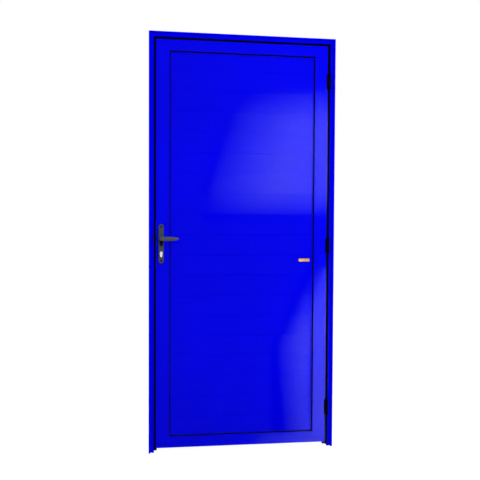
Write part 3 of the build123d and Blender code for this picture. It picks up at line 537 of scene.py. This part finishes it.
def screw_head(name, place, outwards, radius, body, material, points=4):
    """A flush countersunk head: a shallow dome, and a star sunk into it as its recess, painted near black as
    painted shade.
    """
    profile = [
        (radius, -HEAD_RIM), (radius, 0.0), (radius * 0.94, HEAD_DOME * 0.6), (radius * 0.62, HEAD_DOME)
    ]
    finish_piece(join(name, [lathe(profile, place, outwards)]), body, material)
    outwards, across, up = directions(outwards)
    star = []
    for step in range(points * 2):
        turn = math.pi * step / points + STAR_TURN
        reach = radius * (STAR_WAIST if step % 2 else STAR_POINT)
        star.append(across * math.cos(turn) * reach + up * math.sin(turn) * reach)
    brim = [Vector(place) + outwards * STAR_BRIM + spoke for spoke in star]
    bottom = [Vector(place) + outwards * STAR_FLOOR + spoke * STAR_TAPER for spoke in star]
    # The recess is painted near black as painted shade
    recess = join(name + "_recess", [skin([brim, bottom])])
    finish_piece(recess, body, recess_painted_shade, smooth=False)


SMALL_SCREW, SCREW = 0.0036, 0.0038
HINGE_BLADE, HINGE_SCREW_REACH = 0.003, 0.022
KEEPER_THICKNESS, KEEPER_SCREW_REACH = 0.002, 0.016
FOREND_SCREW_REACH = 0.107

for hinge, height in HINGES.items():
    for end, sign in ENDS:
        z = height + sign * HINGE_SCREW_REACH
        screw_head(
            f"hinge_frame_{hinge}_screw_{end}", (JAMB_INSIDE - HINGE_BLADE, 0.0, z), (-1, 0, 0),
            SCREW, "frame", screw_black,
        )
        screw_head(
            f"hinge_leaf_{hinge}_screw_{end}", (LEAF_EDGE + HINGE_BLADE, 0.0, z), (1, 0, 0),
            SCREW, "leaf", screw_black,
        )

for end, sign in ENDS:
    keeper_place = (KEEPER_THICKNESS - JAMB_INSIDE, 0.0, HANDLE_Z + sign * KEEPER_SCREW_REACH)
    screw_head(f"keeper_screw_{end}", keeper_place, (1, 0, 0), SMALL_SCREW, "frame", zinc)
    forend_place = (-LEAF_EDGE, 0.0, PLATE_Z + sign * FOREND_SCREW_REACH)
    screw_head(f"forend_screw_{end}", forend_place, (-1, 0, 0), SCREW, "leaf", zinc)


# Barrel hinges: rounded caps on the barrel, and a narrow strip on the leaf beside it

BARREL_RADIUS = half("hinge_frame_bottom", X)
BARREL_HALF = half("hinge_frame_bottom", Z)
CAP_HEIGHT, CAP_FLAT = 0.0028, 0.0008
WING_X, WING_Y = HINGE_X - BARREL_RADIUS + 0.0002, LEAF_FRONT - 0.0003
WING_RADIUS, WING_HALF, WING_BEVEL, WING_BEVEL_LENGTH = 0.0033, 0.0365, 0.0004, 0.0005
WING_FACE = LEAF_FRONT - 0.0013

cap_turns = [math.radians(angle) for angle in range(0, 90, 10)]
cap_profile = [(BARREL_RADIUS * math.cos(turn), CAP_HEIGHT * math.sin(turn)) for turn in cap_turns]
cap_profile.append((CAP_FLAT, CAP_HEIGHT))
for hinge, height in HINGES.items():
    caps = []
    for sign in (-1, 1):
        caps.append(lathe(cap_profile, (HINGE_X, HINGE_Y, height + sign * BARREL_HALF), (0, 0, sign), 40))
    finish_piece(join(f"hinge_{hinge}_caps", caps), "frame", black_metal)

wing_profile = [
    (WING_RADIUS - WING_BEVEL, -WING_HALF), (WING_RADIUS, WING_BEVEL_LENGTH - WING_HALF),
    (WING_RADIUS, WING_HALF - WING_BEVEL_LENGTH), (WING_RADIUS - WING_BEVEL, WING_HALF),
]
for hinge, height in HINGES.items():
    wing = join(f"hinge_{hinge}_wing", [lathe(wing_profile, (WING_X, WING_Y, height), (0, 0, 1), 20)])
    for vert in wing.data.vertices:
        vert.co.y = max(min(vert.co.y, LEAF_FRONT), WING_FACE)
    finish_piece(wing, "leaf", black_metal, smooth=False)


# Handle plates: pillow-edged, with a keyhole, a hole for the neck and countersunk screws

PLATE_HALF_WIDTH = half("plate_front", X)
PLATE_HALF_LENGTH = half("plate_front", Z)
PLATE_THICKNESS = LEAF_FRONT - span("plate_front", Y)[0]
PLATE_EDGE, PLATE_CROWN, CROWN_INSET = 0.0026, 0.0002, 0.0057
KEYHOLE_RADIUS, KEYHOLE_TAIL, TAIL_DROP = 0.0088, 0.0053, 0.0195
NECK_HOLE = 0.0084
PLATE_SCREW, PLATE_SCREW_REACH, PLATE_SCREW_Y = 0.0041, 0.082, -0.0239
# The ring cut round each screw: its wall, its cone and its inner edge, as (radius, y)
COUNTERSINK = [(0.0043, -0.030), (0.0043, -0.0238), (0.0026, -0.0215), (0.0026, -0.030)]
CUT_START, CUT_END = 0.010, 0.030


def plate_outline(inset, y, count=20):
    """A slot-shaped ring in an upright plane, set in from the outline of the plate."""
    radius = PLATE_HALF_WIDTH - inset
    straight = PLATE_HALF_LENGTH - PLATE_HALF_WIDTH
    ring = arc(SPINDLE_X, PLATE_Z + straight, radius, 0, 180, count)
    ring += arc(SPINDLE_X, PLATE_Z - straight, radius, 180, 360, count)
    return [Vector((x, y, z)) for x, z in ring]


def bore(radius, z, start, end, count=40):
    """A cylinder through the plate at a height, from one y to another."""
    return lathe([(radius, start), (radius, end)], (SPINDLE_X, 0, z), (0, 1, 0), count)


def keyhole_cutters(start, end):
    """The round part, the round foot and the straight tail between them, from one y to another."""
    low, wide = CYLINDER_Z - TAIL_DROP, KEYHOLE_TAIL
    round_part = bore(KEYHOLE_RADIUS, CYLINDER_Z, start, end)
    tail_foot = bore(KEYHOLE_TAIL, low, start, end, 32)
    outline = [(-wide, low), (wide, low), (wide, CYLINDER_Z), (-wide, CYLINDER_Z)]
    tail = skin([[Vector((SPINDLE_X + x, y, z)) for x, z in outline] for y in (start, end)])
    return [round_part, tail_foot, tail]


def cut(target, cutters, name):
    """Cuts each form out of the target in turn."""
    for index, cutter_form in enumerate(cutters):
        cutter = join(f"{name}_{index}", [cutter_form])
        mod = target.modifiers.new(name, "BOOLEAN")
        mod.operation = "DIFFERENCE"
        mod.solver = "EXACT"
        mod.object = cutter
        bpy.context.view_layer.update()
        graph = bpy.context.evaluated_depsgraph_get()
        cut_mesh = bpy.data.meshes.new_from_object(target.evaluated_get(graph))
        target.modifiers.clear()
        target.data = cut_mesh
        bpy.data.objects.remove(cutter)


def handle_plate(node, side, material):
    """The cover of the plate on one side of the leaf. Only the outer one has screws."""
    edge_start = PLATE_THICKNESS - PLATE_CROWN - PLATE_EDGE
    layers = [(0.0, 0.0), (0.0, edge_start)]
    for angle in range(15, 105, 15):
        turn = math.radians(angle)
        layers.append((PLATE_EDGE * (1 - math.cos(turn)), edge_start + PLATE_EDGE * math.sin(turn)))
    layers.append((CROWN_INSET, PLATE_THICKNESS))
    rings = [plate_outline(inset, side * (LEAF_BACK + proud)) for inset, proud in layers]
    plate = join(node + "_cover", [skin(rings)])
    start, end = sorted((side * CUT_START, side * CUT_END))
    cut(plate, keyhole_cutters(start, end), node + "_keyhole")
    holes = [bore(NECK_HOLE, HANDLE_Z, start, end)]
    if side < 0:
        for sign in (-1, 1):
            holes.append(lathe(COUNTERSINK, (SPINDLE_X, 0, PLATE_Z + sign * PLATE_SCREW_REACH), (0, 1, 0)))
    cut(plate, holes, node + "_holes")
    finish_piece(plate, "leaf", material)
    plate.modifiers.new("normals", "WEIGHTED_NORMAL").keep_sharp = True
    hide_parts(node)


handle_plate("plate_front", -1, plate_grey)
handle_plate("plate_back", 1, handle_grey)
for end, sign in ENDS:
    place = (SPINDLE_X, PLATE_SCREW_Y, PLATE_Z + sign * PLATE_SCREW_REACH)
    screw_head(f"plate_screw_{end}", place, (0, -1, 0), PLATE_SCREW, "leaf", screw_black, 6)


# Levers: a round neck that turns into a softly swelling bar

LEVER_FOOT, LEVER_FACE = span("lever_back", Y)
BAR_HALF_DEPTH, BAR_DROP = 0.0050, 0.0016
BAR_Z = HANDLE_Z - BAR_DROP
BAR_COUNT = 28
ROUND_DEPTH, ROUND_HEIGHT = 0.62, 0.78
# Along the bar from the spindle: (x, half height, half depth)
BAR_STATIONS = [
    (-0.0086, 0.0030, 0.0030), (-0.0072, 0.0060, 0.0040), (-0.0040, 0.0088, 0.0047),
    (0.0, 0.0100, BAR_HALF_DEPTH), (0.012, 0.0106, BAR_HALF_DEPTH), (0.030, 0.0102, BAR_HALF_DEPTH),
    (0.048, 0.0098, BAR_HALF_DEPTH), (0.060, 0.0090, BAR_HALF_DEPTH), (0.069, 0.0078, 0.0047),
    (0.076, 0.0060, 0.0041), (0.0812, 0.0038, 0.0030), (0.0838, 0.0014, 0.0014),
]
# Along the neck from the middle of the leaf: (radius, distance)
NECK_PROFILE = [
    (0.0080, LEVER_FOOT), (0.0080, 0.0262), (0.0084, 0.0268), (0.0084, 0.0282), (0.0078, 0.0290),
    (0.0070, 0.0310), (0.0066, 0.0360), (0.0066, 0.0480), (0.0070, 0.0550), (0.0078, 0.0600),
    (0.0084, 0.0625),
]


def lever(node, side):
    """One lever: the bar has a rounded box section, and its outer face stands at LEVER_FACE."""
    rings = []
    for x, half_height, half_depth in BAR_STATIONS:
        ring = []
        for step in range(BAR_COUNT):
            turn = 2 * math.pi * step / BAR_COUNT
            c, s = math.cos(turn), math.sin(turn)
            y = side * (LEVER_FACE - BAR_HALF_DEPTH) + half_depth * math.copysign(abs(c) ** ROUND_DEPTH, c)
            z = BAR_Z + half_height * math.copysign(abs(s) ** ROUND_HEIGHT, s)
            ring.append(Vector((SPINDLE_X + x, y, z)))
        rings.append(ring)
    neck = lathe(NECK_PROFILE, (SPINDLE_X, 0, HANDLE_Z), (0, side, 0), 40)
    piece = join(node + "_bar", [skin(rings), neck])
    finish_piece(piece, "lever", handle_grey)
    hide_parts(node)


lever("lever_front", -1)
lever("lever_back", 1)


# Brass plate: bevelled edges, slightly dished face, two round pins

BRASS_HALF_WIDTH, BRASS_HALF_HEIGHT, BRASS_CORNER = 0.0280, 0.0072, 0.0011
# From the edge inwards: (inset, how far it stands out of the panel)
BRASS_STEPS = [(0.0, 0.0), (0.0, 0.0009), (0.0005, 0.0013), (0.0012, 0.0015), (0.0022, 0.0013)]
PIN_REACH = 0.0245
PIN_PROFILE = [(0.0020, 0.0), (0.0020, 0.0003), (0.0016, 0.0006), (0.0009, 0.0008), (0.0002, 0.00085)]

brass_rings = []
for inset, proud in BRASS_STEPS:
    radius = BRASS_CORNER - inset * 0.5
    u, v = BRASS_HALF_WIDTH - inset - radius, BRASS_HALF_HEIGHT - inset - radius
    ring = []
    for cu, cv, start in ((u, v, 0), (-u, v, 90), (-u, -v, 180), (u, -v, 270)):
        ring += arc(BRASS_X + cu, BRASS_Z + cv, radius, start, start + 90, 5)
    brass_rings.append([Vector((x, PANEL_FRONT - proud, z)) for x, z in ring])
badge = join("brass_plate_bevelled", [skin(brass_rings)])
finish_piece(badge, "leaf", brass, smooth=False)
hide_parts("brass_plate")
for side_name, side in (("left", -1), ("right", 1)):
    place = (BRASS_X + side * PIN_REACH, PANEL_FRONT - BRASS_STEPS[-1][1], BRASS_Z)
    pin = join(f"brass_pin_{side_name}", [lathe(PIN_PROFILE, place, (0, -1, 0), 24)])
    finish_piece(pin, "leaf", brass_pin)


# Camera, solved from the photograph: place, turns in degrees, focal length and optical middle in pixels

CAMERA = Vector((-0.4793, -3.2706, 1.0798))
YAW, PITCH, ROLL = (math.radians(angle) for angle in (8.141, -1.867, 0.285))
FOCAL = 667.0
CENTRE = (240.0, 254.0)
PICTURE = 480
SENSOR = 36.0

forward = Vector((math.sin(YAW) * math.cos(PITCH), math.cos(YAW) * math.cos(PITCH), math.sin(PITCH)))
right = Vector((math.cos(YAW), -math.sin(YAW), 0))
up = right.cross(forward)
right, up = (right * math.cos(ROLL) + up * math.sin(ROLL), up * math.cos(ROLL) - right * math.sin(ROLL))
camera_data = bpy.data.cameras.new("camera")
camera_data.sensor_width = SENSOR
camera_data.lens = FOCAL / PICTURE * SENSOR
camera_data.shift_x = (PICTURE / 2 - CENTRE[0]) / PICTURE
camera_data.shift_y = (CENTRE[1] - PICTURE / 2) / PICTURE
camera_data.clip_end = 100
camera = bpy.data.objects.new("camera", camera_data)
scene.collection.objects.link(camera)
camera.matrix_world = Matrix.Translation(CAMERA) @ Matrix((right, up, -forward)).transposed().to_4x4()
scene.camera = camera


# Studio: a pale floor and a white background

def floor_white(tone, glow):
    """A pale surface whose own light, seen only directly or mirrored, keeps it near white."""
    paint = Paint("floor_white").put(Specular_IOR_Level=0.0, Roughness=0.9, Emission_Color=(1, 1, 1, 1))
    grain = paint.ramp(paint.noise(3.0, 3.0), 0.3, 0.7, 0.0, 1.0)
    paint.put(Base_Color=paint.blend(grain, grey(tone), grey(tone * 0.99)))
    paint.put(Emission_Strength=paint.math("MULTIPLY", paint.seen_by("Camera", "Glossy"), glow))
    return paint.material


FLOOR_CORNERS = [(-9, -7, 0), (9, -7, 0), (9, 11, 0), (-9, 11, 0)]
FLOOR_DROP, FLOOR_TONE, FLOOR_GLOW = 0.0005, 0.32, 0.84
floor_mesh = mesh_from("floor", FLOOR_CORNERS, [[0, 1, 2, 3]])
floor_mesh.location.z = -FLOOR_DROP
floor_mesh.data.materials.append(floor_white(FLOOR_TONE, FLOOR_GLOW))
floor_mesh.visible_glossy = False


def background(sky_nodes, strength):
    sky = sky_nodes.add("ShaderNodeBackground")
    sky.inputs["Color"].default_value = (1, 1, 1, 1)
    sky.inputs["Strength"].default_value = strength
    return sky.outputs["Background"]


AMBIENT, WHITE = 0.65, 1.0
world = bpy.data.worlds.new("world")
scene.world = world
world.use_nodes = True
sky_nodes = Nodes(world.node_tree)
mixer = sky_nodes.add("ShaderNodeMixShader")
sky_nodes.feed(mixer.inputs["Fac"], sky_nodes.seen_by("Camera", "Glossy", "Transmission"))
sky_nodes.feed(mixer.inputs[1], background(sky_nodes, AMBIENT))
sky_nodes.feed(mixer.inputs[2], background(sky_nodes, WHITE))
sky_nodes.feed(sky_nodes.add("ShaderNodeOutputWorld").inputs["Surface"], mixer.outputs["Shader"])


# Soft boxes behind the camera, whose reflections are seen on the leaf

LAMP_Y = -3.3
GLOW, LOWER_GLOW = 21.5, 22.79


def mirrored(px, py):
    """Where a lamp must stand so that the flat leaf shows it at this place of the picture."""
    ray = forward * FOCAL + right * (px - CENTRE[0]) - up * (py - CENTRE[1])
    hit = CAMERA + ray * ((LEAF_FRONT - CAMERA.y) / ray.y)
    ray.y = -ray.y
    return hit + ray * ((LAMP_Y - LEAF_FRONT) / ray.y)


def solve_plane(marks):
    """The (a, b, c) for which a * x + b * z + c gives each of three marked places its value."""
    rows, values = [], []
    for px, py, value in marks:
        place = mirrored(px, py)
        rows.append((place.x, place.z, 1.0))
        values.append(value)
    return Matrix(rows).inverted() @ Vector(values)


def soft_box(name, outline, strength, slopes, join_by="MULTIPLY"):
    """A flat lamp. Its outline is given by the places of the picture where the leaf mirrors it. It fades
    along slopes: each has three such places with their values, a power and the least value."""
    corners = [mirrored(px, py) for px, py in outline]
    box = mesh_from(name, corners, [list(range(len(corners)))])
    lamp = bpy.data.materials.new(name)
    lamp.use_nodes = True
    lamp_nodes = Nodes(lamp.node_tree)
    coords = lamp_nodes.add("ShaderNodeTexCoord").outputs["Object"]
    total = 1.0
    for marks, power, least in slopes:
        a, b, c = solve_plane(marks)
        dot = lamp_nodes.add("ShaderNodeVectorMath", operation="DOT_PRODUCT")
        lamp_nodes.feed(dot.inputs[0], coords)
        lamp_nodes.feed(dot.inputs[1], (a, 0, b))
        fade = lamp_nodes.ramp(dot.outputs["Value"], -c, 1 - c, least, 1.0, "LINEAR")
        total = lamp_nodes.math(join_by, total, lamp_nodes.math("POWER", fade, power))
    glow = lamp_nodes.add("ShaderNodeEmission")
    lamp_nodes.feed(glow.inputs["Color"], (1, 1, 1, 1))
    lamp_nodes.feed(glow.inputs["Strength"], lamp_nodes.math("MULTIPLY", total, strength))
    lamp_nodes.feed(lamp_nodes.add("ShaderNodeOutputMaterial").inputs["Surface"], glow.outputs["Emission"])
    box.data.materials.append(lamp)
    box.visible_camera = False
    box.visible_shadow = False


# Picture places in pixels, read from the reflections in the photograph
REFLECTION_END = 330
FOOT_TOP, FOOT_END = 433.5, 452
UPPER_OUTLINE = [(240, 89.5), (REFLECTION_END, 90.5), (REFLECTION_END, 220), (205, 220), (205, 180)]
UPPER_LEFT_SLOPE = (((217, 150, 0.0), (287, 150, 1.0), (207, 180, 0.0)), 1.0, 0.0)
UPPER_TOP_SLOPE = (((240, 88, 0.0), (300, 88, 0.0), (240, 120, 1.0)), 1.5, 0.24)
UPPER_FOOT_SLOPE = (((240, 218, 0.0), (300, 218, 0.0), (240, 188, 1.0)), 1.0, 0.0)
LOWER_OUTLINE = [
    (306, 267.5), (REFLECTION_END, 267.5), (REFLECTION_END, FOOT_TOP), (272, FOOT_TOP), (272, 350)
]
LOWER_SHARP_SLOPE = (((281.4, 330, 0.0), (306.4, 330, 1.0), (296.0, 300, 0.0)), 1.6, 0.0)
LOWER_WIDE_SLOPE = (((275.6, 350, 0.0), (309.5, 350, 1.0), (283.9, 430, 0.0)), 1.0, 0.0)
FOOT_OUTLINE = [(256, FOOT_TOP), (REFLECTION_END, FOOT_TOP), (REFLECTION_END, FOOT_END), (251, FOOT_END)]
FOOT_SLOPE = (((243, 438, 0.0), (327, 438, 1.0), (243, 446, 0.0)), 1.0, 0.0)

soft_box("soft_box_upper", UPPER_OUTLINE, GLOW, [UPPER_LEFT_SLOPE, UPPER_TOP_SLOPE, UPPER_FOOT_SLOPE])
soft_box("soft_box_lower", LOWER_OUTLINE, LOWER_GLOW, [LOWER_SHARP_SLOPE, LOWER_WIDE_SLOPE], "MINIMUM")
soft_box("soft_box_foot", FOOT_OUTLINE, GLOW, [FOOT_SLOPE])


# A wide, weak wash of light on the upper right of the door, which isn't mirrored in it

WASH_PLACE, WASH_AIM = Vector((1.5, -1.9, 1.5)), Vector((0.3, 0.0, 1.25))
WASH_SIZE, WASH_WATTS = (1.2, 1.4), 14.0
wash_data = bpy.data.lights.new("wash", "AREA")
wash_data.shape = "RECTANGLE"
wash_data.size, wash_data.size_y = WASH_SIZE
wash_data.energy = WASH_WATTS
wash_data.specular_factor = 0.0
wash = bpy.data.objects.new("wash", wash_data)
wash.visible_glossy = False
wash.location = WASH_PLACE
wash.rotation_euler = (WASH_AIM - WASH_PLACE).to_track_quat("-Z", "Y").to_euler()
scene.collection.objects.link(wash)

scene.view_settings.view_transform = "Standard"
